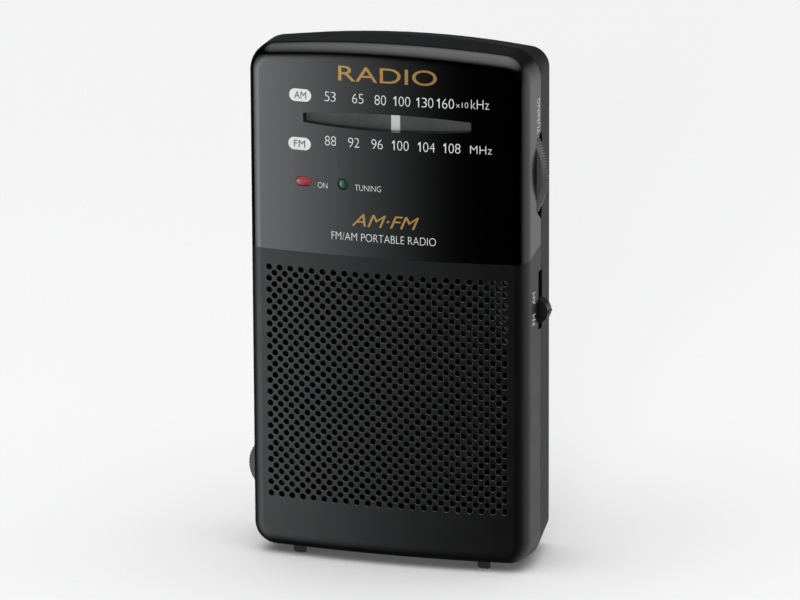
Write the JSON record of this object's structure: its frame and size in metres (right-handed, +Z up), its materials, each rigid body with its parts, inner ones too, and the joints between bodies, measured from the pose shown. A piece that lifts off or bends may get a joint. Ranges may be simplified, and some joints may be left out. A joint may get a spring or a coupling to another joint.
{
  "type": "portable radio",
  "caption": "Pocket AM/FM radio in a two-tone plastic case with a slide-rule dial, perforated speaker face, thumbwheels, band switch and stowed rod antenna.",
  "frame": {"origin": "middle of the case's width and depth, on the ground under its feet", "axes": "+Z up, -Y towards the front, +X towards the side with the tuning wheel"},
  "size_m": [0.07, 0.0286, 0.1185],
  "materials": {
    "case_matt": "fine moulded texture, matt black",
    "fascia_gloss": "polished black",
    "rear_matt": "fine moulded texture, dark grey-black",
    "clear_window": "clear acrylic",
    "dial_grey": "dark grey, satin",
    "pointer_white": "white",
    "cord_white": "braided cord",
    "pulley_nylon": "natural nylon",
    "pin_steel": "bright steel",
    "wheel_black": "satin black",
    "drum_white": "natural nylon",
    "brass_part": "machined brass",
    "film_capacitor": "milky white",
    "pot_body": "black resin",
    "switch_metal": "plated steel",
    "knob_black": "satin black",
    "cover_grey": "grey",
    "lamp_red": "tinted clear red",
    "lamp_green": "tinted clear green",
    "speaker_steel": "black lacquer",
    "magnet_metal": "nickel plated",
    "cone_paper": "black pressed paper",
    "copper_coil": "enamelled copper",
    "screw_steel": "zinc plated",
    "board_green": "phenolic board",
    "chip_black": "moulded resin",
    "can_tin": "tinned",
    "capacitor_sleeve": "shrink sleeve",
    "ferrite": "fired ferrite",
    "jack_black": "black nylon",
    "cell_jacket": "plain printed jacket",
    "spring_steel": "nickel plated",
    "antenna_chrome": "chrome plated"
  },
  "bodies": {
    "radio": {"front_case": "case_matt", "speaker_grille": "case_matt", "dial_fascia": "fascia_gloss", "rear_case": "rear_matt", "dial_lens": "clear_window", "dial_plate": "dial_grey", "dial_cord": "cord_white", "pulley_pin_left": "pin_steel", "pulley_pin_right": "pin_steel", "tuning_capacitor": "film_capacitor", "volume_control": "pot_body", "band_switch_body": "switch_metal", "power_led": "lamp_red", "tuning_led": "lamp_green", "speaker_frame": "speaker_steel", "speaker_magnet": "magnet_metal", "speaker_cone": "cone_paper", "speaker_dust_cap": "cone_paper", "voice_coil": "copper_coil", "speaker_clips": "spring_steel", "clip_screws": "screw_steel", "circuit_board": "board_green", "board_screws": "screw_steel", "case_screws": "screw_steel", "radio_chip": "chip_black", "amplifier_chip": "chip_black", "if_transformers": "can_tin", "electrolytic_capacitors": "capacitor_sleeve", "ferrite_rod": "ferrite", "aerial_coil": "copper_coil", "rod_holder_left": "jack_black", "rod_holder_right": "jack_black", "earphone_jack": "jack_black", "battery_left": "cell_jacket", "battery_right": "cell_jacket", "contact_springs": "spring_steel", "contact_plates": "spring_steel", "antenna_base": "jack_black"},
    "tuning": {"tuning_wheel": "wheel_black", "dial_drum": "drum_white", "tuning_wheel_screw": "screw_steel", "tuning_shaft": "brass_part"},
    "pointer": {"dial_pointer": "pointer_white"},
    "left_pulley": {"cord_pulley_left": "pulley_nylon"},
    "right_pulley": {"cord_pulley_right": "pulley_nylon"},
    "volume": {"volume_wheel": "wheel_black", "volume_shaft": "brass_part"},
    "band_slider": {"band_switch_knob": "knob_black", "switch_dust_cover": "cover_grey"},
    "door": {"battery_door": "rear_matt"},
    "antenna_arm": {"antenna_knuckle": "antenna_chrome", "antenna_outer": "antenna_chrome"},
    "antenna_mid": {"antenna_second": "antenna_chrome"},
    "antenna_thin": {"antenna_third": "antenna_chrome"},
    "antenna_end": {"antenna_tip": "antenna_chrome"}
  },
  "joints": [
    {"name": "tuning_spin", "type": "hinge", "parent": "radio", "child": "tuning", "pos_m": [0.0186, -0.00305, 0.0891], "axis": [0, 1, 0], "range_deg": [-97.52, 82.43]},
    {"name": "pointer_travel", "type": "slide", "parent": "radio", "child": "pointer", "axis": [1, 0, 0], "range_m": [-0.017, 0.0145]},
    {"name": "left_pulley_spin", "type": "hinge", "parent": "radio", "child": "left_pulley", "pos_m": [-0.0195, -0.00585, 0.1042], "axis": [0, 1, 0], "range_deg": [-463.3, 392.4]},
    {"name": "right_pulley_spin", "type": "hinge", "parent": "radio", "child": "right_pulley", "pos_m": [0.0272, -0.00585, 0.1042], "axis": [0, 1, 0], "range_deg": [-463.3, 392.4]},
    {"name": "volume_spin", "type": "hinge", "parent": "radio", "child": "volume", "pos_m": [-0.0281, -0.00365, 0.0188], "axis": [0, 1, 0], "range_deg": [0, 290]},
    {"name": "band_slide", "type": "slide", "parent": "radio", "child": "band_slider", "axis": [0, 0, 1], "range_m": [0, 0.005]},
    {"name": "door_slide", "type": "slide", "parent": "radio", "child": "door", "axis": [0, 0, -1], "range_m": [0, 0.062]},
    {"name": "antenna_swing", "type": "hinge", "parent": "radio", "child": "antenna_arm", "pos_m": [-0.024, 0.01105, 0.099], "axis": [1, 0, 0], "range_deg": [0, 135]},
    {"name": "antenna_pull_mid", "type": "slide", "parent": "antenna_arm", "child": "antenna_mid", "axis": [0, 0, -1], "range_m": [0, 0.042]},
    {"name": "antenna_pull_thin", "type": "slide", "parent": "antenna_mid", "child": "antenna_thin", "axis": [0, 0, -1], "range_m": [0, 0.042]},
    {"name": "antenna_pull_end", "type": "slide", "parent": "antenna_thin", "child": "antenna_end", "axis": [0, 0, -1], "range_m": [0, 0.042]}
  ],
  "couplings": [
    {"joint": "pointer_travel", "follows": "tuning_spin", "m_per_rad": 0.00987},
    {"joint": "left_pulley_spin", "follows": "tuning_spin", "ratio": 4.7},
    {"joint": "right_pulley_spin", "follows": "tuning_spin", "ratio": 4.7},
    {"joint": "antenna_pull_mid", "follows": "antenna_swing", "m_per_rad": 0.017825},
    {"joint": "antenna_pull_thin", "follows": "antenna_swing", "m_per_rad": 0.017825},
    {"joint": "antenna_pull_end", "follows": "antenna_swing", "m_per_rad": 0.017825}
  ]
}
